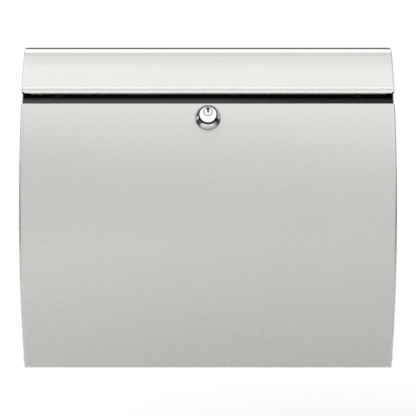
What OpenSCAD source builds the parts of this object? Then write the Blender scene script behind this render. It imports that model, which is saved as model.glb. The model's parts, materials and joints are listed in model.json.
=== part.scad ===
// Wall letterbox: dark folded housing, curved stainless door with a cam lock, stainless top flap.
// Origin: centre of the four wall-fixing holes, on the wall plane. +Z up, the front faces -Y.

/* [Casing] */
// Overall width over the door and flap cheeks
body_w = 370; // [350:2:400]
// Overall height from the door foot to the top of the flap
body_h = 323; // [318:1:330]
// Depth from the wall to the crown of the door
body_d = 104; // [100:1:110]
// Radius of the curved front
front_r = 294; // [286:1:310]
// Thickness of the stainless sheet of door and flap
skin_t = 0.8; // [0.7:0.1:1.0]
// Thickness of the housing sheet
shell_t = 1.2; // [1.0:0.1:1.4]
// Side gap between the housing and the cheeks of door and flap
side_gap = 0.4; // [0.35:0.05:0.6]

/* [Flap] */
// Length of the flat part of the leaning flap front
flap_front = 45; // [44.375:0.625:45.625]
// Most forward point of the flap lip
lip_y = -82.6; // [-84:0.2:-80]
// Outside radius of the bend between flap front and lip
lip_r = 3.5; // [3.4:0.1:3.6]
// Outside radius of the bend between lip and hem
hem_r = 1.2; // [1.1:0.1:1.5]
// Outside radius of the bend between flap top and flap front
flap_bend_r = 11; // [10.5:0.5:11.5]
// Outside radius of the edges between flap and its cheeks
cheek_r = 2.6; // [2.4:0.1:3.2]
// Depth of the return hem under the lip
hem_d = 21; // [14:1:24]
// Distance from each end at which the hem stops
hem_end = 8; // [6:1:12]
// Gap between the wall and the rear edge of the flap top
flap_rear = 5; // [4.6:0.1:6]

/* [Door] */
// Height of the top edge of the door above the origin
door_top = 102.6; // [102:0.1:104.5]
// Depth of the door side flanges
door_flange = 18; // [16:1:20]
// Outside radius of the rolled side edges of the door
door_edge_r = 3.8; // [3:0.1:5]
// Outside radius of the bend at the door foot, centred on the hinge
foot_r = 10; // [9.6:0.1:10.4]
// Depth of the return under the door foot
return_d = 8.5; // [7:0.1:9]
// Height of the hem behind the top edge of the door
door_hem = 5; // [4:0.1:5.3]

/* [Slot rail] */
// Height of the top of the rail
rail_top = 109.8; // [109.4:0.1:110.6]
// Set-back of the rail behind the curved front
rail_back = 3; // [2.8:0.1:3.4]

/* [Hinges] */
// Shank diameter of the shoulder rivets
pivot_d = 5; // [4:0.1:5]
// Radial running clearance between rivet and bush
run_gap = 0.05; // [0.02:0.01:0.1]
// Outside diameter of the nylon bushes
bush_d = 6.96; // [6.6:0.02:7]
// Height of the flap hinge axis below the top of the flap
flap_axis_drop = 8.5; // [8.3:0.1:9]
// Distance of the flap hinge axis from the wall
flap_axis_y = 12; // [12:0.1:13]

/* [Lock] */
// Height of the lock centre on the door
lock_z = 88.5; // [88:0.5:90]
// Base diameter of the domed bezel
bezel_d = 25.7; // [25.4:0.1:26.2]
// Height of the inner rim of the bezel above the door
bezel_h = 7.1; // [6.8:0.1:7.4]
// Diameter of the lock face
face_d = 17.1; // [16.8:0.1:17.2]
// Width of the groove between the lock face and the bezel
groove_w = 0.7; // [0.6:0.05:0.8]
// Height of the lock face above the door
face_h = 8.9; // [8.5:0.1:9.2]
// Distance of the key plug above the centre of the face
plug_off = 3; // [2.8:0.1:3.1]
// Diameter of the face of the key plug
plug_d = 9.1; // [8.6:0.1:9.2]
// Length of the cam from the plug axis to its tip
cam_len = 22; // [20:0.5:22.5]

/* [Wall fixing] */
// Distance between the fixing holes across the back
hole_dx = 260; // [200:5:300]
// Distance between the fixing holes up the back
hole_dz = 220; // [160:5:250]
// Diameter of the fixing holes
hole_d = 7; // [5:0.5:8]

/* [Hidden] */
$fn = 96;

dark = "#33353a";                         // back and side cheeks
rivet_metal = "#c8c9cc";
rubber = "#1b1b1c";
nylon = "#e8e6df";
cam_metal = "#c4c6ca";                    // washer and screw of the cam

over = 1;                                 // reach of a cutter past the face it cuts
half_w = body_w / 2;
half_h = body_h / 2;
front_cy = front_r - body_d;              // centre line of the front arc
house_x = half_w - skin_t - side_gap;     // outer face of the side cheeks
inner_x = house_x - shell_t;              // inner face of the side cheeks
floor_z = -half_h + 1.4;                  // underside of the floor
roof_z = half_h - 13.6;                   // top of the roof

// y of the front of a circle of the given radius about the front centre line, at height z
function arc_y(radius, z) = front_cy - sqrt(radius * radius - z * z);

// Flap: the front leans by the right triangle 336 : 527 : 625. (normal_y, normal_z) is its
// normal, (normal_z, -normal_y) the way down it; then the centres of the two bends
normal_y = -527 / 625;
normal_z = 336 / 625;
flap_lean = asin(normal_z);
lip_cy = lip_y + lip_r;
bend_cz = half_h - flap_bend_r;
bend_cy = lip_cy + normal_z * flap_front - normal_y * (flap_bend_r - lip_r);
lip_cz = bend_cz + normal_y * flap_front + normal_z * (flap_bend_r - lip_r);
lip_z = lip_cz - lip_r;                   // underside of the flap lip
// distance of the flap front from the origin along its normal
flap_reach = normal_y * lip_cy + normal_z * lip_cz + lip_r;
flap_axis = [-flap_axis_y, half_h - flap_axis_drop];    // [y, z]

// y of a line parallel to the flap front, depth behind its outer face, at height z
function slope_y(depth, z) = (flap_reach - depth - normal_z * z) / normal_y;

// Door: the hinge axis is the centre of the foot bend
hinge_z = -half_h + foot_r;
hinge_y = front_cy - sqrt(pow(front_r - foot_r, 2) - hinge_z * hinge_z);
hinge_axis = [hinge_y, hinge_z];
foot_a = asin(-hinge_z / (front_r - foot_r));   // angle at which the foot bend starts
top_a = asin(door_top / front_r);

// Lock frame: x along X, y up along the door, z out of the door
lock_a = asin(lock_z / front_r);
lock_y = arc_y(front_r, lock_z);

// Fasteners: [y, z] of the rivets, and radii
rail_rivet = [-64, 103.2];
guard_rivet = [-47, 90.5];
rivet_r = 1.6;
flap_tail_r = 1.5;
door_tail_r = 2.0;
hole_gap = 0.05;                          // radial clearance round rivets and pivot tails
bush_gap = 0.02;                          // radial clearance round the bushes

// ---------------------------------------------------------------- helpers

// A drawing in the y-z plane, extruded along X
module along_x(length, center = true) {
    rotate([90, 0, 90]) linear_extrude(height = length, center = center) children();
}

// A profile (radius, x) turned about an axis parallel to X, over sweep from angle start,
// counted from +Y towards +Z
module turn_x(y, z, start, sweep) {
    translate([0, y, z]) rotate([90, 0, 90]) rotate([0, 0, start])
        rotate_extrude(angle = sweep) children();
}

// Places children in the lock frame
module in_lock() {
    translate([0, lock_y, lock_z]) rotate([90 - lock_a, 0, 0]) children();
}

// The same frame in the y-z drawing plane: (out of the door, up along the door)
module in_lock_2d() {
    translate([lock_y, lock_z]) rotate(180 - lock_a) mirror([0, 1]) children();
}

// Rectangle between two depths, with both corners at the outer depth rounded
module round_bar(inner, outer, half_width, corner_r) {
    translate([inner, -half_width]) square([outer - corner_r - inner, 2 * half_width]);
    translate([inner, corner_r - half_width])
        square([outer - inner, 2 * (half_width - corner_r)]);
    for (side = [-1, 1])
        translate([outer - corner_r, side * (half_width - corner_r)]) circle(corner_r);
}

module ring_2d(radius, thickness) {
    difference() {
        circle(radius);
        circle(radius - thickness);
    }
}

// Disc in the y-z plane concentric with the curved front, set back from it
module front_disc(set_back) {
    translate([front_cy, 0]) circle(front_r - set_back, $fn = 360);
}

// Children and their mirror image across the middle plane
module pair() {
    children();
    mirror([1, 0, 0]) children();
}

// Disc lying across X from x0 to x1, centred on at = [y, z]
module disc_x(at, x0, x1, radius) {
    translate([x0, at[0], at[1]]) rotate([0, 90, 0]) cylinder(h = x1 - x0, r = radius);
}

// ---------------------------------------------------------------- housing

roof_d = 40;
roof_lip = 8.4;
fold_r = 2.4;                             // outside radius of the housing folds

// Quarter of a fold centred at (y, z), in the quadrant whose lower corner is given
module fold_2d(y, z, corner) {
    translate([y, z]) intersection() {
        ring_2d(fold_r, shell_t);
        translate(corner) square(fold_r);
    }
}

// Back, floor and roof folded from one sheet
module back_shell() {
    end_gap = 0.05;
    floor_front = hinge_y + 11.6;
    back_inset = 6;                       // wide part of the back, from floor and roof
    drain_x = 120;
    color(dark) difference() {
        union() {
            along_x(2 * (inner_x - end_gap)) {
                // back
                translate([-shell_t, floor_z + fold_r])
                    square([shell_t, roof_z - floor_z - 2 * fold_r]);
                // floor
                translate([floor_front, floor_z]) square([-fold_r - floor_front, shell_t]);
                // roof
                translate([-roof_d + fold_r, roof_z - shell_t])
                    square([roof_d - 2 * fold_r, shell_t]);
                // roof lip
                translate([-roof_d, roof_z - roof_lip]) square([shell_t, roof_lip - fold_r]);
                fold_2d(-fold_r, floor_z + fold_r, [0, -fold_r]);
                fold_2d(-fold_r, roof_z - fold_r, [0, 0]);
                fold_2d(-roof_d + fold_r, roof_z - fold_r, [-fold_r, 0]);
            }
            // the back reaches out over the rear flanges of the cheeks
            translate([-house_x, -shell_t, floor_z + back_inset])
                cube([2 * house_x, shell_t, roof_z - floor_z - 2 * back_inset]);
        }
        for (x = [-1, 1], z = [-1, 1])
            translate([x * hole_dx / 2, over, z * hole_dz / 2]) rotate([90, 0, 0])
                cylinder(h = shell_t + 2 * over, r = hole_d / 2);
        // drain holes in the floor
        for (side = [-1, 1]) translate([side * drain_x, -20, floor_z - over])
            cylinder(h = shell_t + 2 * over, r = 2.5);
    }
}

// Part of a side cheek between two heights, set back from the curved front
module cheek_band(set_back, bottom, top) {
    intersection() {
        front_disc(set_back);
        translate([-body_d, bottom]) square([body_d - shell_t, top - bottom]);
    }
}

// Outline of a side cheek in the y-z plane
module side_outline() {
    slit_top = lip_z - 0.6;
    joint_z = lip_z - 2;                  // foot of the part under the flap
    shoulder_z = half_h - 4.5;
    ear_y = flap_axis[0] + 4.6;           // rear edge of the ear round the flap axis
    difference() {
        union() {
            // lower body up to the slit
            cheek_band(4.4, floor_z, door_top + 1);
            // ends of the slit, level with the rail
            cheek_band(rail_back, door_top + 0.8, slit_top);
            // under the flap
            polygon([
                [-shell_t, joint_z], [-shell_t, roof_z], [ear_y, roof_z], [ear_y, flap_axis[1]],
                [flap_axis[0], shoulder_z], [slope_y(6.5, shoulder_z), shoulder_z],
                [arc_y(front_r - rail_back, slit_top) + 0.02, slit_top], [-70, joint_z]
            ]);
            translate(flap_axis) circle(4.7);
        }
        // room for the door foot to swing round the hinge
        translate(hinge_axis) intersection() {
            circle(12.6);
            translate([-20, -20]) square([40, 20]);
        }
    }
    translate(hinge_axis) circle(6);
}

module side_cheek() {
    rear_flange_w = 13;
    rear_flange_inset = 1.2;              // from the outer face of the cheek
    rear_flange_end = 8;                  // from floor and roof
    holes = [                             // [y, z], radius
        [flap_axis, flap_tail_r + hole_gap],
        [hinge_axis, door_tail_r + hole_gap],
        [rail_rivet, rivet_r + hole_gap],
        [guard_rivet, rivet_r + hole_gap]
    ];
    difference() {
        union() {
            translate([inner_x, 0, 0]) along_x(shell_t, false) side_outline();
            // rear flange against the back
            translate([inner_x - rear_flange_w, -2 * shell_t, floor_z + rear_flange_end])
                cube([rear_flange_w + shell_t - rear_flange_inset, shell_t,
                      roof_z - floor_z - 2 * rear_flange_end]);
            // foot flange on the floor
            translate([inner_x - 11, -34, floor_z + shell_t]) cube([11.5, 26, shell_t]);
            // tab that stops the open door
            translate([inner_x - 8, hinge_y + 5.5, hinge_z + return_d + 0.15])
                cube([8.5, 6, shell_t]);
        }
        for (hole = holes) disc_x(hole[0], inner_x - over, house_x + over, hole[1]);
    }
}
module side_right() { color(dark) side_cheek(); }
module side_left() { color(dark) mirror([1, 0, 0]) side_cheek(); }

// Rivet holes through both end tabs of a part between the cheeks
module tab_holes(at) {
    pair() disc_x(at, inner_x - 2, inner_x + 1, rivet_r + hole_gap);
}

// Curved rail behind the slit; its rear flange is the strike for the cam
module front_rail() {
    strike_up = 10.6;                     // lower edge above the lock centre, along the door
    strike_depth = 16.2;                  // rear face of the strike behind the door face
    strike_h = 10.4;
    overlap = 0.6;                        // flanges start this far inside the curved sheet
    top_front = arc_y(front_r - rail_back - overlap, rail_top);
    top_rear = -60;
    end_tab = [                           // [y, z]
        [-81.6, 98.9], [-71.7, 94.9], [-58.5, 99],
        [-58.5, rail_top - 0.6], [-78.2, rail_top - 0.6]
    ];
    color("#2b2d31") difference() {
        union() {
            along_x(2 * inner_x) {
                // curved sheet
                intersection() {
                    difference() {
                        front_disc(rail_back);
                        front_disc(rail_back + shell_t);
                    }
                    in_lock_2d() translate([-30, strike_up]) square([40, 40]);
                    translate([-200, 60]) square([190, rail_top - 60]);
                }
                // lower flange and strike
                in_lock_2d() translate([-strike_depth, strike_up])
                    square([strike_depth - rail_back - overlap, shell_t]);
                in_lock_2d() translate([-strike_depth, strike_up]) square([shell_t, strike_h]);
                // top flange
                translate([top_front, rail_top - shell_t])
                    square([top_rear - top_front, shell_t]);
            }
            pair() translate([inner_x - shell_t, 0, 0]) along_x(shell_t, false)
                polygon(end_tab);
        }
        tab_holes(rail_rivet);
    }
}

guard_t = 1.0;                            // thickness of the guard's end tabs
guard_gap = 0.02;                         // gap between the tabs and the cheeks

// Inclined plate under the slot
module letter_guard() {
    // outlines, [y, z]
    plate = [
        [-58.6, 108.4], [-36.6, 84.4], [-36.6, 76], [-35.6, 76], [-35.6, 84.8], [-57.9, 109.1]
    ];
    end_tab = [[-57.2, 97], [-39, 77], [-35.6, 77], [-35.6, 84.8], [-57.2, 107.6]];
    joint = [
        [-57.2, 106.9], [-36.6, 84.4], [-36.6, 77], [-35.6, 77], [-35.6, 84.8], [-57.2, 108.3]
    ];
    color("#3a3c40") difference() {
        union() {
            along_x(2 * (inner_x - 1.4)) polygon(plate);
            pair() translate([inner_x - guard_t - guard_gap, 0, 0]) along_x(guard_t, false)
                polygon(end_tab);
            // strips that join the plate to the end tabs
            pair() translate([inner_x - 2.2, 0, 0]) along_x(1.6, false) polygon(joint);
        }
        tab_holes(guard_rivet);
    }
}

// ---------------------------------------------------------------- fasteners and buffers

// Blind rivet through a tab and the cheek
module blind_rivet(at, tab_t) {
    head_h = 1.1;
    dome_r = 5.3;
    dome_z = -4.2;                        // centre of the dome from the cheek face
    disc_x(at, inner_x - tab_t - 0.9, house_x + 0.2, rivet_r);
    disc_x(at, inner_x - tab_t - 1.2, inner_x - tab_t, 2.6);
    translate([house_x, at[0], at[1]]) rotate([0, 90, 0]) difference() {
        intersection() {
            cylinder(h = head_h, r = 3.1);
            translate([0, 0, dome_z]) sphere(dome_r);
        }
        translate([0, 0, 0.5]) cylinder(h = 2, r = 0.8);
    }
}
module rail_rivets() { color(rivet_metal) pair() blind_rivet(rail_rivet, shell_t); }
module guard_rivets() { color(rivet_metal) pair() blind_rivet(guard_rivet, guard_t + guard_gap); }

// Shoulder rivet: tail through the cheek, shoulder in the bush, flat head outside
module pivot(at, tail_r) {
    head_r = 4.8;
    head_t = 0.3;                         // of the straight part and of the bevel
    disc_x(at, inner_x - 1.0, house_x + 0.1, tail_r);
    disc_x(at, inner_x - 1.1, inner_x, tail_r + 1.3);
    disc_x(at, house_x, half_w + 0.2, pivot_d / 2);
    translate([half_w + 0.15, at[0], at[1]]) rotate([0, 90, 0]) {
        cylinder(h = head_t, r = head_r);
        translate([0, 0, head_t]) cylinder(h = head_t, r1 = head_r, r2 = head_r - 0.4);
    }
}
module flap_pivots() { color(rivet_metal) pair() pivot(flap_axis, flap_tail_r); }
module door_pivots() { color(rivet_metal) pair() pivot(hinge_axis, door_tail_r); }

// Thin nylon bush with a flange in the side gap
module bush(at) {
    start_x = house_x + 0.05;
    difference() {
        union() {
            disc_x(at, start_x, half_w + 0.1, bush_d / 2);
            disc_x(at, start_x, half_w - skin_t - 0.02, bush_d / 2 + 0.9);
        }
        disc_x(at, house_x - over, half_w + over, pivot_d / 2 + run_gap);
    }
}
module flap_bushes() { color(nylon) pair() bush(flap_axis); }
module door_bushes() { color(nylon) pair() bush(hinge_axis); }

// Holes for the bushes through the cheeks of door or flap
module bush_holes(at) {
    pair() disc_x(at, half_w - 3, half_w + 2, bush_d / 2 + bush_gap);
}

// Rubber dots on the rail under the flap hem
module flap_buffers() {
    base_h = 2.2;
    base_r = 5;
    hem_gap = 0.05;
    color(rubber) pair() translate([150, -67, rail_top]) {
        cylinder(h = base_h, r = base_r);
        translate([0, 0, base_h])
            cylinder(h = lip_z - rail_top - base_h - hem_gap, r1 = base_r, r2 = 4.2);
    }
}

// Rubber pads on the rail behind the top edge of the door
module door_buffers() {
    hem_gap = 0.05;
    color(rubber) pair() translate([120, 0, 0]) along_x(14) intersection() {
        difference() {
            front_disc(2 * skin_t + hem_gap);
            front_disc(rail_back);
        }
        in_lock_2d() translate([-10, 11]) square([12, 3.8]);
    }
}

// ---------------------------------------------------------------- flap

flap_edge = 2;                            // depth at which the flap's side edges start

// Section of the flap sheet with both side edges turned down into the cheeks
module flap_section(inner, outer) {
    difference() {
        round_bar(inner, outer, half_w, cheek_r);
        round_bar(inner / 2 - 0.01, outer - skin_t, half_w - skin_t, cheek_r - skin_t);
    }
}

module lip_section() {
    inner = 0.1;
    intersection() {
        flap_section(inner, lip_r);
        translate([inner, -half_w - 1]) square([9, body_w + 2]);
    }
}

// Block on one side of the plane square to the flap front through (y, z): ahead of it or behind
module across_front(y, z, ahead) {
    translate([0, y, z]) rotate([180 - flap_lean, 0, 0])
        translate([-half_w - 1, -20, ahead ? 0 : -20]) cube([body_w + 2, 40, 20]);
}

// Bend to the upright, short upright strip, tight bend into the hem, hem
module flap_lip() {
    intersection() {
        turn_x(lip_cy, lip_cz, 90, 90) lip_section();
        across_front(lip_cy, lip_cz, true);
    }
    translate([0, lip_cy, lip_cz]) rotate([180, 0, 0]) linear_extrude(height = lip_r - hem_r)
        rotate(90) lip_section();
    along_x(2 * (half_w - cheek_r - 0.4)) translate([lip_y + hem_r, lip_z + hem_r])
        intersection() {
            ring_2d(hem_r, skin_t);
            translate([-9, -9]) square(9);
        }
    translate([-(half_w - hem_end), lip_y + hem_r, lip_z])
        cube([2 * (half_w - hem_end), hem_d + lip_r - hem_r, skin_t]);
}

module flap_cheek() {
    foot_z = lip_z + 0.4;
    front_y = lip_cy - 0.1;
    inset = 5;                            // below the flap top and inside the bend
    inset_r = flap_bend_r - inset;
    translate([half_w - skin_t, 0, 0]) along_x(skin_t, false) polygon([
        [front_y, foot_z], [-flap_rear, foot_z],
        [-flap_rear, half_h - inset], [bend_cy, half_h - inset],
        [bend_cy + inset_r * normal_y, bend_cz + inset_r * normal_z], [front_y, lip_cz + 0.1]
    ]);
}

module flap_panel() {
    corner_r = 8;                         // lower rear corner of the cheeks
    color("#d6d6d4") difference() {
        union() {
            // top
            translate([0, -flap_rear, bend_cz]) rotate([90, 0, 0])
                linear_extrude(height = -flap_rear - bend_cy)
                    rotate(90) flap_section(flap_edge, flap_bend_r);
            // bend between top and front
            intersection() {
                turn_x(bend_cy, bend_cz, 90, 90) flap_section(flap_edge, flap_bend_r);
                across_front(bend_cy, bend_cz, false);
            }
            // leaning front
            translate([0, bend_cy, bend_cz]) rotate([180 - flap_lean, 0, 0])
                linear_extrude(height = flap_front)
                    rotate(90) flap_section(flap_edge, flap_bend_r);
            flap_lip();
            pair() flap_cheek();
        }
        // rounds the lower rear corner of the cheeks
        along_x(body_w + 20) translate([-flap_rear - corner_r, lip_z + 0.4 + corner_r])
            difference() {
                translate([0, -9]) square(9);
                circle(corner_r);
            }
        bush_holes(flap_axis);
    }
}

// ---------------------------------------------------------------- door

foot_slit = 0.3;                                 // between the foot bend and the corners
foot_x = half_w - door_edge_r - 0.4 - foot_slit; // half width of the foot bend

// Curved face with rolled edges and side flanges
module door_face() {
    inner_r = front_r - door_flange;
    slit_x = foot_x + foot_slit;
    difference() {
        turn_x(front_cy, 0, 180 - top_a, top_a + foot_a + 5) difference() {
            round_bar(inner_r, front_r, half_w, door_edge_r);
            round_bar(inner_r - 1, front_r - skin_t, half_w - skin_t, door_edge_r - skin_t);
        }
        // below the foot bend only the corners go on, past a relief slit
        translate([0, hinge_y, hinge_z]) rotate([foot_a, 0, 0])
            translate([-slit_x, -40, -40]) cube([2 * slit_x, 80, 40]);
        // trims the corners just above the foot
        translate([-half_w - 5, -150, -half_h - 49.6]) cube([body_w + 10, 150, 50]);
    }
}

// Foot bend, started a little inside the curved face, and its return
module door_foot() {
    inward = 0.005;
    start_a = foot_a - 4;
    along_x(2 * foot_x) {
        translate([hinge_y + inward * cos(foot_a), hinge_z + inward * sin(foot_a)])
            intersection() {
                ring_2d(foot_r, skin_t);
                polygon([[0, 0], [-30 * cos(start_a), -30 * sin(start_a)], [-30, -30], [0, -30]]);
            }
        translate([hinge_y - 0.01, -half_h]) square([return_d, skin_t]);
    }
}

module door_panel() {
    hem_x = half_w - 8;
    color("#cfcfcd") difference() {
        union() {
            door_face();
            door_foot();
            // hem behind the top edge
            turn_x(front_cy, 0, 180 - top_a, door_hem / front_r * 180 / PI)
                translate([front_r - 2 * skin_t, -hem_x]) square([1.2 * skin_t, 2 * hem_x]);
        }
        // lock hole
        in_lock() translate([0, 0, -6]) cylinder(h = 12, r = 8);
        bush_holes(hinge_axis);
    }
}

// ---------------------------------------------------------------- lock

plug_r = plug_d / 2;
rim_r = face_d / 2 + groove_w;            // inner rim of the bezel
bezel_foot = 0.6;                         // height of the foot of the bezel
seat_z = 1.5;                             // floor of the groove round the lock face
barrel_len = 17;                          // behind the door face
wafer_count = 4;
cam_t = 2;

// Dome of the bezel: an arc from just inside the top of its foot to the inner rim
dome_r = 12;
dome_foot_r = bezel_d / 2 - 0.05;
dome_dx = rim_r - dome_foot_r;
dome_dz = bezel_h - bezel_foot;
// distance of the dome centre from the middle of the chord, in chord lengths
dome_ratio = sqrt(dome_r * dome_r / (dome_dx * dome_dx + dome_dz * dome_dz) - 0.25);
dome_cx = (rim_r + dome_foot_r) / 2 - dome_ratio * dome_dz;
dome_cz = (bezel_h + bezel_foot) / 2 + dome_ratio * dome_dx;

// Middle of a wafer in the lock frame
function wafer_z(index) = -1.6 - index * 2.4;

// Lock frame moved to the plug axis, at height z
module on_plug(z = 0) {
    in_lock() translate([0, plug_off, z]) children();
}

// Cylinder from z0 to z1 with its top edge chamfered
module chamfered(z0, z1, radius, chamfer) {
    translate([0, 0, z0]) cylinder(h = z1 - z0 - chamfer, r = radius);
    translate([0, 0, z1 - chamfer]) cylinder(h = chamfer, r1 = radius, r2 = radius - chamfer);
}

module lock_bezel() {
    bore_r = 7.9;
    sunk = 0.8;                           // depth of the foot before the door face trims it
    color("#e6e7e9") difference() {
        in_lock() rotate_extrude() difference() {
            union() {
                translate([0, -sunk]) square([bezel_d / 2, sunk + bezel_foot]);
                intersection() {
                    translate([dome_cx, dome_cz]) circle(dome_r, $fn = 240);
                    translate([8, 0.4]) square([bezel_d / 2 - 8, 10]);
                }
            }
            translate([-1, -2]) square([bore_r + 1, 10]);
            translate([0, seat_z]) square([rim_r, 10]);
        }
        translate([0, front_cy, 0]) rotate([0, 90, 0])
            cylinder(h = 60, r = front_r + 0.01, center = true, $fn = 360);
    }
}

module lock_barrel() {
    color("#dddee0") in_lock() difference() {
        union() {
            chamfered(seat_z + 0.02, face_h, face_d / 2, 0.45);
            translate([0, 0, -barrel_len]) cylinder(h = barrel_len + 2, r = 7.75);
        }
        translate([0, plug_off, seat_z]) cylinder(h = 10, r = plug_r + run_gap);
        translate([0, plug_off, -barrel_len - over]) cylinder(h = 30, r = 3.8);
        // side grooves for the clip
        for (side = [-1, 1]) translate([side * 10.5, 0, -1.68]) cube([8, 20, 1.2], center = true);
    }
}

// Flat clip round the barrel, open towards the top
module lock_clip() {
    color("#9a9ca0") in_lock() translate([0, 0, -2.2]) linear_extrude(height = 1.0)
        difference() {
            union() {
                translate([-11.5, -10]) square([23, 19.5]);
                translate([-8.5, -13]) square([17, 4]);
                for (side = [-1, 1]) translate([side * 8.5, -10]) circle(3);
            }
            translate([-6.6, -7.9]) square([13.2, 20]);
            for (side = [-1, 1]) translate([side * 9.2, 4]) circle(1.2);
        }
}

module key_slot() {
    translate([-0.75, -1.1]) square([1.5, 4.2]);
    translate([0.2, -0.4]) square([1.0, 1.3]);
}

module lock_plug() {
    core_end = -barrel_len - 0.05;
    square_w = 5;                         // square end that carries the cam
    color("#e3e4e6") on_plug() difference() {
        union() {
            chamfered(seat_z + 0.05, face_h - 0.1, plug_r, 0.3);
            translate([0, 0, core_end]) cylinder(h = 18.7, r = 3.75);
            translate([-square_w / 2, -square_w / 2, core_end - cam_t])
                cube([square_w, square_w, cam_t + 0.1]);
        }
        translate([0, 0, -11.5]) linear_extrude(height = 30) key_slot();
        // lead-in of the keyway
        translate([0, 2.75, face_h - 0.9]) cylinder(h = 2, r = 1.45);
        // screw hole
        translate([0, 0, -20]) cylinder(h = 7, r = 1.25);
        for (i = [0:wafer_count - 1])
            translate([0, 0, wafer_z(i)]) cube([5.3, 20, 0.9], center = true);
    }
}

module lock_wafers() {
    wafer_t = 0.8;
    color("#c9a648") on_plug() for (i = [0:wafer_count - 1])
        translate([0, 0, wafer_z(i) - wafer_t / 2]) linear_extrude(height = wafer_t)
            difference() {
                intersection() {
                    circle(3.68);
                    square([5.2, 10], center = true);
                }
                // every other window is a little shorter
                translate([-1.3, -1.3]) square([2.7, 4.6 - 0.2 * (i % 2)]);
            }
}

// Cam pointing to -X, with a rounded tip
module lock_cam() {
    cam_r = 7;
    corner_r = 5;
    corner_x = cam_len - corner_r;
    corner_y = cam_r - corner_r;
    color("#b9bbbf") on_plug(-19.2) linear_extrude(height = cam_t) difference() {
        union() {
            circle(cam_r);
            translate([-corner_x, -cam_r]) square([corner_x, 2 * cam_r]);
            for (side = [-1, 1]) translate([-corner_x, side * corner_y]) circle(corner_r);
            translate([-cam_len, -corner_y]) square([6, 2 * corner_y]);
        }
        square(5.12, center = true);
    }
}

module cam_washer() {
    color(cam_metal) on_plug(-20.02) difference() {
        cylinder(h = 0.8, r = 4.5);
        translate([0, 0, -over]) cylinder(h = 3, r = 1.65);
    }
}

// Screw with a domed, cross-slotted head
module cam_screw() {
    head_h = 2.1;
    color(cam_metal) on_plug(-20.04) {
        translate([0, 0, -0.01]) cylinder(h = 6, r = 1.2);
        difference() {
            translate([0, 0, -head_h]) intersection() {
                cylinder(h = head_h, r = 2.8);
                translate([0, 0, 4.6]) sphere(5.2);
            }
            for (turn = [0, 90]) rotate([0, 0, turn])
                translate([0, 0, -head_h]) cube([3.4, 0.7, 2.2], center = true);
        }
    }
}

back_shell();
side_left();
side_right();
front_rail();
letter_guard();
rail_rivets();
guard_rivets();
flap_pivots();
door_pivots();
flap_buffers();
door_buffers();
flap_panel();
flap_bushes();
door_panel();
door_bushes();
lock_bezel();
lock_barrel();
lock_clip();
lock_plug();
lock_wafers();
lock_cam();
cam_washer();
cam_screw();
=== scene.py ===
"""Looks for the wall letterbox: materials, floor, studio light and camera.

The box hangs above the floor with its front towards -Y, its width along X and +Z up.
The shapes come from the CAD; this script dresses them and builds the studio.
"""

import json
import math

import bpy
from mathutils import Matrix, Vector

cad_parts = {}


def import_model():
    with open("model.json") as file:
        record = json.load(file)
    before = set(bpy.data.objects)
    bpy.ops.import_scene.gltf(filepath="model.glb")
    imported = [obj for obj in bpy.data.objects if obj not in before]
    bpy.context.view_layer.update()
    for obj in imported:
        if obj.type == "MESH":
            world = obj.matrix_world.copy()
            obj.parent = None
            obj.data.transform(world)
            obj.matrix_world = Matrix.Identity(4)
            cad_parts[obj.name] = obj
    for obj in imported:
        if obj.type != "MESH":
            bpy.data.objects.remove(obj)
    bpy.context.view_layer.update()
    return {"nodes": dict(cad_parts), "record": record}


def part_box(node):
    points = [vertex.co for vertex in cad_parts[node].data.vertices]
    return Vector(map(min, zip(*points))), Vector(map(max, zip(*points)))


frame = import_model()
NODES = frame["nodes"]
RECORD = frame["record"]
scene = bpy.context.scene


# ------------------------------------------------------------------ places on the product


def x_radius(node):
    low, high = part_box(node)
    return (high[0] - low[0]) / 2


# heights of the folded flap and of the front rail, which starts at the door's top edge
FLAP_BOTTOM, FLAP_TOP = (corner[2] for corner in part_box("flap_panel"))
RAIL_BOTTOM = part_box("door_panel")[1][2]
RAIL_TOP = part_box("front_rail")[1][2]

# the lock: its axis out of the door, the direction up its face, and its middle
LOCK_JOINT = next(j for j in RECORD["behaviour"]["joints"] if j["name"] == "lock_turn")
LOCK_AXIS = LOCK_JOINT["axis"]
LOCK_OUT = (0.0, -LOCK_AXIS[1], -LOCK_AXIS[2]) if LOCK_AXIS[1] > 0 else tuple(LOCK_AXIS)
LOCK_UP = (0.0, LOCK_OUT[2], -LOCK_OUT[1])
PLUG_RISE = 0.003           # the plug sits this far above the middle of the lock
PLUG_OFFSET = tuple(PLUG_RISE * part for part in LOCK_UP)
LOCK_MIDDLE = tuple(pos - off for pos, off in zip(LOCK_JOINT["pos_m"], PLUG_OFFSET))
BARREL_RADIUS = x_radius("lock_barrel")
PLUG_RADIUS = x_radius("lock_plug")
PLUG_FACE = 0.0088          # height of the plug's face over the middle, along LOCK_OUT


# ------------------------------------------------------------------ node helpers


def operator(operation, swapped=False):
    def apply(self, other):
        pair = (other, self) if swapped else (self, other)
        return self.graph.math(operation, *pair)
    return apply


class Value:
    """One output of a shader node; scalar arithmetic on it adds Math nodes."""

    def __init__(self, graph, socket):
        self.graph = graph
        self.socket = socket

    __add__ = operator("ADD")
    __radd__ = operator("ADD", swapped=True)
    __sub__ = operator("SUBTRACT")
    __rsub__ = operator("SUBTRACT", swapped=True)
    __mul__ = operator("MULTIPLY")
    __truediv__ = operator("DIVIDE")

    def __abs__(self):
        return self.graph.math("ABSOLUTE", self)


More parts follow.
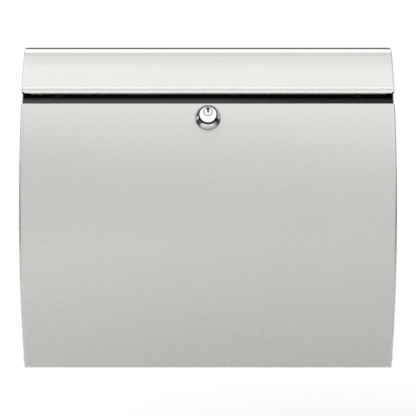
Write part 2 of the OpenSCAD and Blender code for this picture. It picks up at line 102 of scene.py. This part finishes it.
class Graph:
    """A small builder for the node tree of one material or world."""

    def __init__(self, owner):
        self.owner = owner
        owner.use_nodes = True
        self.tree = owner.node_tree
        self.tree.nodes.clear()

    def add(self, kind, inputs=None, **settings):
        """A new node; inputs maps socket names or indices to Values or constants."""
        node = self.tree.nodes.new("ShaderNode" + kind)
        for name, setting in settings.items():
            setattr(node, name, setting)
        for key, value in (inputs or {}).items():
            if isinstance(value, Value):
                self.tree.links.new(value.socket, node.inputs[key])
            else:
                node.inputs[key].default_value = value
        return node

    def get(self, kind, inputs=None, output=0, **settings):
        """One output of a new node."""
        return Value(self, self.add(kind, inputs, **settings).outputs[output])

    def math(self, operation, *values, clamp=False):
        return self.get("Math", dict(enumerate(values)), operation=operation, use_clamp=clamp)

    def vector_math(self, operation, *vectors):
        output = "Value" if operation in ("DOT_PRODUCT", "LENGTH") else 0
        return self.get("VectorMath", dict(enumerate(vectors)), output, operation=operation)

    def scale(self, vector, factor):
        return self.get("VectorMath", {0: vector, "Scale": factor}, operation="SCALE")

    def split(self, vector):
        """The x, y and z of a vector."""
        return [Value(self, out) for out in self.add("SeparateXYZ", {"Vector": vector}).outputs]

    def combine(self, x, y, z):
        return self.get("CombineXYZ", {"X": x, "Y": y, "Z": z})

    def mix(self, factor, first, second, blend="MIX"):
        """A mix of two colours."""
        # on a Mix node the colours are inputs 6 and 7, and output 2
        return self.get("Mix", {0: factor, 6: first, 7: second}, 2,
                        data_type="RGBA", clamp_factor=True, blend_type=blend)

    def mix_shader(self, factor, first, second):
        return self.get("MixShader", {0: factor, 1: first, 2: second})

    def ramp(self, factor, stops, interpolation="LINEAR"):
        """A float curve through (position, value) stops."""
        node = self.add("ValToRGB", {0: factor})
        node.color_ramp.interpolation = interpolation
        elements = node.color_ramp.elements
        while len(elements) > 1:
            elements.remove(elements[-1])
        elements[0].position = stops[0][0]
        elements[0].color = grey(stops[0][1])
        for position, value in stops[1:]:
            elements.new(position).color = grey(value)
        return Value(self, node.outputs[0])

    def rise(self, factor, start, end, low=0.0, high=1.0):
        """A straight run from low at start to high at end, held flat outside."""
        return self.ramp(factor, [(start, low), (end, high)])

    def coords(self, scale=1.0, offset=(0, 0, 0)):
        """Object coordinates in metres, scaled evenly or by an (x, y, z) triple."""
        place = self.get("TexCoord", output="Object")
        triple = scale if isinstance(scale, tuple) else (scale,) * 3
        return self.get("Mapping", {"Scale": triple, "Location": offset, "Vector": place})

    def noise(self, scale, detail, roughness, distortion=0.0, offset=(0, 0, 0)):
        return self.get("TexNoise", {
            "Vector": self.coords(scale, offset), "Scale": 1.0, "Detail": detail,
            "Roughness": roughness, "Distortion": distortion}, "Fac")

    def cells(self, scale):
        """Distance to the nearest Voronoi cell point."""
        return self.get("TexVoronoi", {"Vector": self.coords(scale), "Scale": 1.0}, "Distance")

    def bump(self, height, distance, strength=1.0, normal=None):
        inputs = {"Strength": strength, "Distance": distance, "Height": height}
        if normal is not None:
            inputs["Normal"] = normal
        return self.get("Bump", inputs)

    def normal(self):
        return self.get("NewGeometry", output="Normal")

    def edges(self, radius):
        """1 on the sharp edges of a part, 0 on its faces."""
        rounded = self.get("Bevel", {"Radius": radius}, samples=4)
        agreement = self.vector_math("DOT_PRODUCT", rounded, self.normal())
        return self.math("MULTIPLY", 1.0 - agreement, 3.0, clamp=True)

    def openness(self, distance):
        """1 in the open, towards 0 in seams narrower than the distance."""
        return self.get("AmbientOcclusion", {"Distance": distance}, "AO", samples=12)

    def edge_on(self):
        """0 where a face looks at the viewer, 1 where it is seen edge-on."""
        return self.get("LayerWeight", {"Blend": 0.5}, "Facing")

    def principled(self, **inputs):
        names = {"color": "Base Color", "aniso": "Anisotropic",
                 "specular": "Specular IOR Level", "subsurface": "Subsurface Weight"}
        return self.get("BsdfPrincipled", {
            names.get(key, key.capitalize()): value for key, value in inputs.items()})

    def finish(self, shader, output="OutputMaterial"):
        self.add(output, {"Surface": shader})
        return self.owner


def material(name):
    return Graph(bpy.data.materials.new(name))


def rgba(color, factor=1.0):
    return (*(channel * factor for channel in color), 1)


def grey(value):
    return rgba((value,) * 3)


def span(value, low, high):
    """Where a value lies between low (0) and high (1)."""
    return (value - low) / (high - low)


# ------------------------------------------------------------------ stainless

STEEL = (0.652, 0.647, 0.636)
STEEL_ROUGHNESS = 0.27
BROAD_SHARE = 0.38          # share of the wide highlight lobe
BROAD_EXTRA = 0.36          # how much rougher that lobe is
UNDERSIDE_DEPTH = 0.0007    # height of the dull zone at the flap's bottom

# (height share on the flap, lean of the normal): above 0.5 leans it up
FLAP_LEAN = [(0.0, 0.50), (0.40, 0.50), (0.62, 0.51), (0.84, 0.54), (0.90, 0.50), (1.0, 0.50)]
# (height share on the flap, painted light and shade): 0.5 keeps the colour of the steel
FLAP_PAINTED_SHADING = [
    (0.0, 0.74), (0.03, 0.74), (0.05, 0.70), (0.072, 0.56), (0.123, 0.55), (0.148, 0.475),
    (0.18, 0.50), (0.52, 0.50), (0.64, 0.472), (0.71, 0.456), (0.785, 0.448), (0.81, 0.43),
    (0.835, 0.40), (0.862, 0.40), (0.882, 0.53), (0.915, 0.60), (0.94, 0.56), (0.955, 0.42),
    (1.0, 0.22)]


def stainless(name, folded=False):
    """Satin sheet ground along X: hair-fine lines, faint bands, handling marks, worn edges.

    folded: adds the lean, the painted light and shade by height and the dull underside of the
    folded flap.
    """
    graph = material(name)
    fine = graph.noise(scale=(22, 5200, 5200), detail=3.0, roughness=0.65)
    hair = graph.noise(scale=(60, 14000, 14000), detail=2.0, roughness=0.6)
    bands = graph.noise(scale=(1.5, 55, 55), detail=4.0, roughness=0.55)
    cloud = graph.noise(scale=9, detail=4.0, roughness=0.6)
    smear = graph.noise(scale=(24, 60, 60), detail=5.0, roughness=0.62, distortion=0.6,
                        offset=(3.1, 1.7, 0.4))
    worn = graph.edges(radius=0.0007)

    # a very slight change of tone, brighter where the edge is rubbed
    mottle = graph.rise(cloud * 0.6 + fine * 0.4, start=0.3, end=0.7)
    color = graph.mix(mottle, rgba(STEEL, 0.982), rgba(STEEL, 1.014))
    color = graph.mix(worn * 0.3, color, rgba((0.80, 0.795, 0.78)))
    roughness = STEEL_ROUGHNESS + (fine - 0.5) * 0.05
    roughness = roughness + (bands - 0.5) * 0.03 + (smear - 0.5) * 0.06 - worn * 0.05
    relief = fine * 0.7 + hair * 0.3

    face = graph.normal()
    normal = face
    if folded:
        # the normal leans up just below the bend
        height = graph.split(graph.coords())[2]
        lean = graph.ramp(span(height, FLAP_BOTTOM, FLAP_TOP), FLAP_LEAN, "EASE")
        tilt = graph.combine(0.0, 0.0, lean - 0.5)
        normal = graph.vector_math("NORMALIZE", graph.vector_math("ADD", face, tilt))
        # painted light and shade by height; doubled again because 0.5 in the table is neutral
        tone = graph.ramp(span(height, FLAP_BOTTOM, FLAP_TOP), FLAP_PAINTED_SHADING)
        color = graph.scale(graph.mix(1.0, color, tone, blend="MULTIPLY"), 2.0)
        # painted shade: the top goes dark where it leans to the front and is seen edge-on
        _, face_y, face_z = graph.split(face)
        painted_top_shade = (graph.rise(graph.edge_on(), start=0.30, end=0.42)
               * graph.rise(face_z, start=0.79, end=0.86)
               * graph.math("LESS_THAN", face_y, -0.02))
        color = graph.scale(color, 1.0 - painted_top_shade * 0.93)
    bump = graph.bump(relief, distance=0.0000002, normal=normal)

    # the grain runs along X; on faces that look along X it runs upright
    side = graph.math("GREATER_THAN", abs(graph.split(face)[0]), 0.85)
    grain_axis = graph.combine(1.0 - side, 0.0, side)
    tangent = graph.vector_math(
        "NORMALIZE", graph.vector_math("CROSS_PRODUCT", face, grain_axis))
    sharp = graph.principled(color=color, metallic=1.0, roughness=roughness, normal=bump,
                             aniso=0.5, tangent=tangent)
    broad = graph.principled(color=color, metallic=1.0, roughness=roughness + BROAD_EXTRA,
                             normal=bump)
    surface = graph.mix_shader(BROAD_SHARE, sharp, broad)
    if folded:
        # the underside of the hem is not ground: dull mill finish
        low = graph.math("LESS_THAN", height, FLAP_BOTTOM + UNDERSIDE_DEPTH)
        down = graph.math("LESS_THAN", face_z, -0.6)
        dull = graph.get("BsdfDiffuse", {"Color": rgba((0.80, 0.79, 0.77)), "Roughness": 0.4})
        surface = graph.mix_shader(low * down * 0.9, surface, dull)
    return graph.finish(surface)


# ------------------------------------------------------------------ powder coat

CHARCOAL = (0.034, 0.0335, 0.032)
# (position from left to right, tone) of the painted shadow along the rail
SHADE_ACROSS = [(0.0, 1.12), (0.55, 1.0), (0.72, 0.52), (1.0, 0.38)]
# (height share, tone) of the painted shadow up the rail
SHADE_UP = [(0.0, 0.88), (0.36, 0.95), (0.60, 0.55), (0.80, 0.10), (1.0, 0.02)]


def powder_coat(name, shade_heights=None):
    """Charcoal paint: orange peel, speckle, rubbed edges, light dust on upward faces, painted
    shade in seams.

    shade_heights: (bottom, top) of a part with a painted shadow, darker towards its top and its
    right end.
    """
    graph = material(name)
    peel = graph.noise(scale=1100, detail=3.0, roughness=0.55)
    speck = graph.cells(scale=2600)
    cloud = graph.noise(scale=14, detail=4.0, roughness=0.6)
    worn = graph.edges(radius=0.0008)
    patches = graph.noise(scale=420, detail=3.0, roughness=0.6)
    broken = graph.rise(patches, start=0.42, end=0.62)
    speckle = graph.rise(speck, start=0.0, end=0.42, low=1.0, high=0.0)
    color = graph.mix(speckle, rgba(CHARCOAL), rgba(CHARCOAL, 1.55))
    color = graph.mix(worn * broken * 0.55, color, rgba((0.14, 0.14, 0.145)))
    upward = graph.rise(graph.split(graph.normal())[2], start=0.55, end=0.95)
    dust = upward * graph.rise(cloud, start=0.35, end=0.7, low=0.1, high=0.5)
    color = graph.mix(dust * 0.22, color, rgba((0.23, 0.22, 0.20)))

    # painted shade: close seams and slots are darkened in the colour
    shade = graph.rise(graph.openness(distance=0.012), start=0.12, end=0.62, low=0.10)
    if shade_heights:
        # painted shadow of the flap on the rail, darker towards its top and its right end
        x, _, z = graph.split(graph.coords())
        across = graph.ramp(x * 2.5 + 0.5, SHADE_ACROSS)
        shade = shade * (across * graph.ramp(span(z, *shade_heights), SHADE_UP))
    color = graph.scale(color, shade)
    roughness = 0.47 + (peel - 0.5) * 0.22 + (cloud - 0.5) * 0.10
    bump = graph.bump(peel, distance=0.00003, strength=0.8)
    bump = graph.bump(speck, distance=0.000012, strength=0.5, normal=bump)
    # the painted shade also lowers the specular
    return graph.finish(graph.principled(
        color=color, roughness=roughness, normal=bump, specular=shade * 0.42))


# ------------------------------------------------------------------ chrome

CHROME = (0.86, 0.86, 0.865)
# (reflected direction from straight down 0 to straight up 1, darkness) of the painted
# reflections of dark side flags
RIGHT_PAINTED_FLAG_REFLECTION = [(0.12, 0.0), (0.22, 0.62), (0.33, 1.0), (0.44, 0.95), (0.52, 0.50),
              (0.66, 0.40), (0.74, 0.0)]
LEFT_PAINTED_FLAG_REFLECTION = [(0.14, 0.0), (0.24, 1.0), (0.42, 0.95), (0.47, 0.0), (0.56, 0.0),
             (0.61, 0.85), (0.78, 0.80), (0.86, 0.0)]


def flatness(graph):
    """1 on faces square to the lock axis, 0 on the sides of the turned parts."""
    return abs(graph.vector_math("DOT_PRODUCT", graph.normal(), LOCK_OUT))


def seam_ring(graph, from_lock, centre, radius, half_width, tone):
    """A painted shade circle round the lock axis that goes down to the tone; 1 elsewhere."""
    offset = graph.vector_math("SUBTRACT", from_lock, centre)
    lift = graph.scale(LOCK_OUT, graph.vector_math("DOT_PRODUCT", offset, LOCK_OUT))
    reach = graph.vector_math("LENGTH", graph.vector_math("SUBTRACT", offset, lift))
    near = abs(reach - radius)
    return graph.rise(near / half_width, start=0.75, end=1.0, low=tone)


def dome_shade(graph):
    """Painted shade of the bezel: painted reflections of dark flags at both sides, a painted
    dark rim and skirt.
    """
    flat = flatness(graph)
    x, _, z = graph.split(graph.get("TexCoord", output="Reflection"))
    up = z * 0.5 + 0.5
    right = graph.rise(x, start=0.38, end=0.56) * graph.ramp(up, RIGHT_PAINTED_FLAG_REFLECTION)
    left = graph.rise(x * -1.0, start=0.38, end=0.54) * graph.ramp(up, LEFT_PAINTED_FLAG_REFLECTION)
    flag = graph.math("MAXIMUM", right, left)
    rim = graph.rise(graph.edge_on(), start=0.56, end=0.78) * 0.62
    skirt = graph.rise(flat, start=0.16, end=0.36, low=1.0, high=0.0) * 0.72
    return graph.math("MAXIMUM", graph.math("MAXIMUM", rim, skirt), flag * 0.90)


def chrome(name, wall=False, ring=None, pit=False, bezel=False):
    """Bright chrome plate: near mirror, fine wipe marks, a soft haze and painted shade in the
    seams.

    wall: painted shade darkens the side of the turned part. ring: sizes of a painted shade line
    at a seam.
    pit: with a ring, painted shade darkens everything below the plug's face too.
    bezel: painted reflections of dark flags show in the dome, and painted shade darkens its
    edge.
    """
    graph = material(name)
    wipe = graph.noise(scale=(900, 2600, 900), detail=3.0, roughness=0.6)
    haze = graph.noise(scale=240, detail=4.0, roughness=0.6)
    worn = graph.edges(radius=0.0003)
    mottle = graph.rise(haze, start=0.3, end=0.75)
    color = graph.mix(mottle, rgba(CHROME), rgba(CHROME, 0.955))
    color = graph.mix(worn * 0.12, color, grey(0.93))

    # 1 on bright metal and near 0 where shade is painted into the seams
    unshaded = graph.rise(graph.openness(distance=0.003), start=0.44, end=0.68, low=0.02)
    # painted shade: the sides of the turned part are darkened in the colour
    if wall:
        unshaded = unshaded * graph.rise(flatness(graph), start=0.45, end=0.75, low=0.02)
    # painted shade: a dark line in the colour at the seam round the lock axis
    if ring:
        from_lock = graph.vector_math("SUBTRACT", graph.coords(), LOCK_MIDDLE)
        unshaded = unshaded * seam_ring(graph, from_lock, **ring)
        if pit:
            # depth below the face, in millimetres
            depth = (PLUG_FACE - graph.vector_math("DOT_PRODUCT", from_lock, LOCK_OUT)) / 0.001
            # painted shade: the recess below the plug's face goes dark
            unshaded = unshaded * graph.rise(depth, start=0.05, end=0.25, low=1.0, high=0.02)
    # painted reflections and painted shade darken the bezel's colour
    if bezel:
        unshaded = unshaded * (1.0 - dome_shade(graph))
    # painted shade: the colour goes near black where the metal is shaded
    color = graph.mix(unshaded, grey(0.012), color)
    roughness = 0.045 + (wipe - 0.45) * 0.05
    dull = graph.rise(haze, start=0.5, end=0.8) * 0.05
    roughness = graph.math("ADD", roughness, dull, clamp=True)
    bump = graph.bump(wipe, distance=0.0000012, strength=0.6)
    return graph.finish(graph.principled(
        color=color, metallic=1.0, roughness=roughness, normal=bump))


# ------------------------------------------------------------------ small parts


def zinc(name, base, roughness, spread):
    """Bright zinc plate: crystal mottle, tumble scratches, brighter edges.

    spread: how much the scratches change the roughness.
    """
    graph = material(name)
    crystal = graph.cells(scale=1500)
    tumble = graph.noise(scale=(5200, 900, 2600), detail=4.0, roughness=0.65)
    cloud = graph.noise(scale=130, detail=4.0, roughness=0.6)
    worn = graph.edges(radius=0.0004)
    color = graph.mix(graph.rise(cloud, start=0.3, end=0.7), rgba(base), rgba(base, 0.80))
    color = graph.mix(worn * 0.5, color, rgba((0.78, 0.785, 0.80)))
    bump = graph.bump(tumble, distance=0.000006, strength=0.6)
    bump = graph.bump(crystal, distance=0.000004, strength=0.5, normal=bump)
    return graph.finish(graph.principled(
        color=color, metallic=1.0, normal=bump,
        roughness=roughness + (tumble - 0.5) * spread + crystal * 0.10))


def mottled(name, grain, cloud, blend, colors, roughness, spread, relief, **extra):
    """Two colours blended by cloud noise; grain noise drives the roughness and bump.

    grain, cloud: noise settings. blend: (start, end) of the blend on the cloud.
    spread: how much the grain changes the roughness. relief: (distance, strength) of the bump.
    """
    graph = material(name)
    grain = graph.noise(**grain)
    color = graph.mix(graph.rise(graph.noise(**cloud), *blend), *map(rgba, colors))
    return graph.finish(graph.principled(
        color=color, roughness=roughness + (grain - 0.5) * spread,
        normal=graph.bump(grain, *relief), **extra))


def brass(name):
    return mottled(
        name,
        grain=dict(scale=(900, 5200, 5200), detail=3.0, roughness=0.6),
        cloud=dict(scale=300, detail=4.0, roughness=0.6), blend=(0.3, 0.7),
        colors=((0.70, 0.52, 0.22), (0.50, 0.35, 0.15)),
        roughness=0.30, spread=0.2, relief=(0.000004, 0.6), metallic=1.0)


def nylon(name):
    return mottled(
        name,
        grain=dict(scale=5200, detail=2.0, roughness=0.5),
        cloud=dict(scale=420, detail=3.0, roughness=0.6), blend=(0.3, 0.7),
        colors=((0.74, 0.73, 0.68), (0.66, 0.64, 0.58)),
        roughness=0.44, spread=0.18, relief=(0.00001, 0.5), subsurface=0.08)


def rubber(name):
    return mottled(
        name,
        grain=dict(scale=2600, detail=3.0, roughness=0.6),
        cloud=dict(scale=180, detail=4.0, roughness=0.6), blend=(0.35, 0.75),
        colors=((0.016, 0.016, 0.017), (0.045, 0.044, 0.043)),
        roughness=0.68, spread=0.2, relief=(0.00002, 0.6), specular=0.35)


# ------------------------------------------------------------------ dressing the CAD nodes

# painted shade lines at the seams between bezel, barrel and plug
BEZEL_SEAM = dict(centre=(0, 0, 0), radius=BARREL_RADIUS + 0.0004, half_width=0.0007, tone=0.03)
BARREL_SEAM = dict(centre=(0, 0, 0), radius=BARREL_RADIUS, half_width=0.00035, tone=0.10)
PLUG_SEAM = dict(centre=PLUG_OFFSET, radius=PLUG_RADIUS, half_width=0.0009, tone=0.24)

MATERIALS = {
    "stainless": stainless("satin_stainless"),
    "flap_stainless": stainless("satin_stainless_flap", folded=True),
    "powder_coat": powder_coat("charcoal_powder_coat"),
    "powder_coat_rail": powder_coat("charcoal_powder_coat_rail_painted_shadow",
                                    shade_heights=(RAIL_BOTTOM, RAIL_TOP)),
    "lock_chrome": chrome("bright_chrome"),
    "lock_ring": chrome("bright_chrome_bezel_painted_reflections", bezel=True, ring=BEZEL_SEAM),
    "lock_face": chrome("bright_chrome_face", wall=True, ring=BARREL_SEAM),
    "lock_key": chrome("bright_chrome_plug", wall=True, pit=True, ring=PLUG_SEAM),
    "zinc": zinc("zinc_plate", base=(0.60, 0.61, 0.625), roughness=0.30, spread=0.12),
    "spring_steel": zinc("spring_steel", base=(0.36, 0.365, 0.38), roughness=0.34, spread=0.10),
    "wafer_brass": brass("stamped_brass"),
    "nylon": nylon("natural_nylon"),
    "rubber": rubber("black_rubber"),
}

# parts with a material of their own in place of their slot's
OWN_MATERIAL = {
    "flap_panel": "flap_stainless",
    "front_rail": "powder_coat_rail",
    "lock_bezel": "lock_ring",
    "lock_barrel": "lock_face",
    "lock_plug": "lock_key",
}

for part in RECORD["subparts"]:
    part_name, slot = part["node"], part["material_slot"]
    part_object = NODES[part_name]
    part_object.data.materials.clear()
    part_object.data.materials.append(MATERIALS[OWN_MATERIAL.get(part_name, slot)])


# ------------------------------------------------------------------ floor

FLOOR_Z = -0.52
FLOOR_RADIUS = 3.4
FLOOR_SEGMENTS = 96
PAINTED_SIDE_SHADE_REACH = 0.35          # the painted sideways shade stops this far from the middle
# (share of the radius, tone) of the painted light fall-off
FLOOR_PAINTED_FALLOFF = [(0.0, 0.755), (0.10, 0.78), (0.19, 0.83), (0.35, 0.90), (0.60, 0.955)]
# (share of the radius, transparency)
FLOOR_FADE = [(0.52, 0.0), (0.97, 1.0)]


def link(obj):
    scene.collection.objects.link(obj)
    return obj


def floor_material():
    graph = material("pale_floor")
    grain = graph.noise(scale=6, detail=5.0, roughness=0.6)
    color = graph.mix(grain, rgba((0.80, 0.80, 0.795)), rgba((0.84, 0.84, 0.835)))
    distance = graph.vector_math("LENGTH", graph.coords())
    # painted shade: a little darker below the box and towards the right, standing in for the
    # fall-off of the light
    near = graph.ramp(distance / FLOOR_RADIUS, FLOOR_PAINTED_FALLOFF)
    x = graph.math("MAXIMUM", graph.split(graph.coords())[0], -PAINTED_SIDE_SHADE_REACH)
    painted_side_shade = 1.0 - graph.math("MINIMUM", x, PAINTED_SIDE_SHADE_REACH) * 0.20
    color = graph.scale(color, near * painted_side_shade)
    solid = graph.principled(color=color, roughness=0.75, specular=0.25)
    fade = graph.ramp(distance / FLOOR_RADIUS, FLOOR_FADE, "EASE")
    below = graph.get("NewGeometry", output="Backfacing")
    see_through = graph.math("MAXIMUM", fade, below)
    return graph.finish(graph.mix_shader(see_through, solid, graph.get("BsdfTransparent")))


def floor():
    """A wide pale disc below the box, fading at its rim and see-through from below."""
    mesh = bpy.data.meshes.new("floor")
    angles = [2 * math.pi * i / FLOOR_SEGMENTS for i in range(FLOOR_SEGMENTS)]
    rim = [(FLOOR_RADIUS * math.cos(a), FLOOR_RADIUS * math.sin(a), 0) for a in angles]
    mesh.from_pydata(rim, [], [list(range(FLOOR_SEGMENTS))])
    disc = link(bpy.data.objects.new("floor", mesh))
    disc.location = (0, 0, FLOOR_Z)
    mesh.materials.append(floor_material())


floor()


# ------------------------------------------------------------------ studio light

# Angles run round X in degrees: 0 front, 90 up, 180 behind, -90 down.
# (angle, brightness)
ROOM = [
    (-180, 0.30), (-130, 0.36), (-100, 0.40), (-80, 0.46), (-64, 0.56), (-48, 0.66),
    (-30, 0.80), (-13, 0.875), (12, 0.865), (18, 0.89), (26, 0.99), (36, 1.12),
    (45, 1.27), (56, 1.45), (68, 1.55), (77, 1.20), (84, 1.10), (90, 1.75), (118, 1.75),
    (132, 0.85), (142, 0.60), (172, 0.50), (180, 0.30)]
# (angle, balance): above 0.5 is brighter to the right, below 0.5 to the left
BALANCE = [(-60, 0.0), (-20, 0.30), (0, 0.5), (35, 0.85), (60, 0.5), (90, 0.25), (130, 0.3)]
BALANCE_STRENGTH = 1.0
# (how far the direction points sideways, brightness)
SIDES = [(0.0, 1.0), (0.55, 0.98), (0.8, 0.90), (1.0, 0.82)]
# (direction from straight down 0 to straight up 1, darkness) of the dark cards
CARD_HEIGHT = [(0.24, 0.0), (0.30, 1.0), (0.47, 1.0), (0.54, 0.0)]


def world():
    studio = bpy.data.worlds.new("studio")
    scene.world = studio
    graph = Graph(studio)
    x, y, z = graph.split(graph.get("TexCoord", output="Generated"))
    turn = graph.math("ARCTAN2", z, y * -1.0) / (2 * math.pi) + 0.5

    def around(stops):
        return graph.ramp(turn, [(angle / 360.0 + 0.5, value) for angle, value in stops])

    # dark cards stand at both sides, mostly below the horizon and not far behind
    sideways = abs(x)
    card = graph.rise(sideways, start=0.76, end=0.82) * graph.ramp(z * 0.5 + 0.5, CARD_HEIGHT)
    card = card * graph.math("LESS_THAN", y, 0.55)
    light = around(ROOM) * graph.ramp(sideways, SIDES) * (1.0 - card * 0.93)
    lean = (around(BALANCE) - 0.5) * x * BALANCE_STRENGTH
    light = light * graph.math("MAXIMUM", 1.0 + lean, 0.1)

    # the camera itself sees plain white
    lighting = graph.get("Background", {"Color": (1.0, 0.997, 0.990, 1), "Strength": light})
    backdrop = graph.get("Background", {"Color": grey(1), "Strength": 1.0})
    seen = graph.get("LightPath", output="Is Camera Ray")
    graph.finish(graph.mix_shader(seen, lighting, backdrop), "OutputWorld")


world()


# ------------------------------------------------------------------ camera and render

CAMERA_DISTANCE = 1.662
LENS_MM = 138.1153846
SHIFT_UP = -0.00115384615   # share of the picture width

camera_data = bpy.data.cameras.new("camera")
camera = link(bpy.data.objects.new("camera", camera_data))
camera.location = (0, -CAMERA_DISTANCE, 0)
camera.rotation_euler = (math.radians(90), 0, 0)
camera_data.sensor_width = 36.0
camera_data.sensor_fit = "HORIZONTAL"
camera_data.lens = LENS_MM
camera_data.shift_y = SHIFT_UP
camera_data.clip_start = 0.05
camera_data.clip_end = 50.0
scene.camera = camera

scene.view_settings.view_transform = "Standard"
scene.view_settings.look = "None"
scene.view_settings.exposure = 0.0
scene.view_settings.gamma = 1.0
scene.cycles.use_denoising = True
scene.cycles.max_bounces = 10
scene.cycles.glossy_bounces = 6
scene.cycles.transparent_max_bounces = 16
